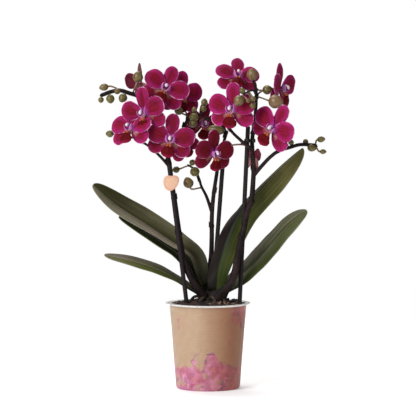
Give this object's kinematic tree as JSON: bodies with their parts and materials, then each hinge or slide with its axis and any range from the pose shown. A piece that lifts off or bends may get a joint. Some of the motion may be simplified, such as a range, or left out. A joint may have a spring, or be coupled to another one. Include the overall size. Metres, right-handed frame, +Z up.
{
  "type": "potted moth orchid",
  "caption": "Small branching moth orchid with crimson flowers, buds and long leaves, standing in a tapered round paper-look cup with a clear inner pot.",
  "frame": {"origin": "centre of the underside of the cup, where it rests", "axes": "+Z up along the plant's height, -Y towards the viewer of the picture, +X to the viewer's right"},
  "size_m": [0.2489, 0.0972, 0.3504],
  "materials": {
    "cup": "thin moulded cup with a printed kraft-brown wrap and a bare white rim",
    "grow_pot": "thin clear moulded plastic",
    "bark": "rough bark chips",
    "crown": "smooth waxy leaf bases, purple to green",
    "leaf": "leathery waxy leaf, satin",
    "stake": "dark extruded support stake",
    "clip": "dark moulded clip",
    "stem": "smooth dark purple-brown flower spike with olive buds",
    "petal": "velvety crimson petals with a thin pale edge",
    "column": "waxy white and magenta column",
    "tag": "pale peach card, bare"
  },
  "bodies": {
    "root": {"cup": "cup", "grow_pot": "grow_pot", "bark_mix": "bark", "crown": "crown", "leaf_1": "leaf", "leaf_2": "leaf", "leaf_3": "leaf", "leaf_4": "leaf", "leaf_5": "leaf", "stake_left": "stake", "stake_middle": "stake", "stake_right": "stake", "clip_left": "clip", "clip_middle": "clip", "clip_right": "clip", "spray_left": "stem", "flower_01": "petal", "flower_02": "petal", "flower_02_column": "column", "flower_03": "petal", "flower_03_column": "column", "flower_04": "petal", "flower_04_column": "column", "flower_05": "petal", "flower_05_column": "column", "flower_06": "petal", "flower_06_column": "column", "flower_07": "petal", "flower_07_column": "column", "spray_middle": "stem", "flower_08": "petal", "flower_08_column": "column", "spray_right": "stem", "flower_09": "petal", "flower_09_column": "column", "flower_10": "petal", "flower_10_column": "column", "flower_11": "petal", "flower_11_column": "column", "flower_12": "petal", "flower_12_column": "column", "flower_13": "petal", "flower_13_column": "column", "flower_14": "petal", "flower_14_column": "column", "tag": "tag"}
  },
  "joints": []
}
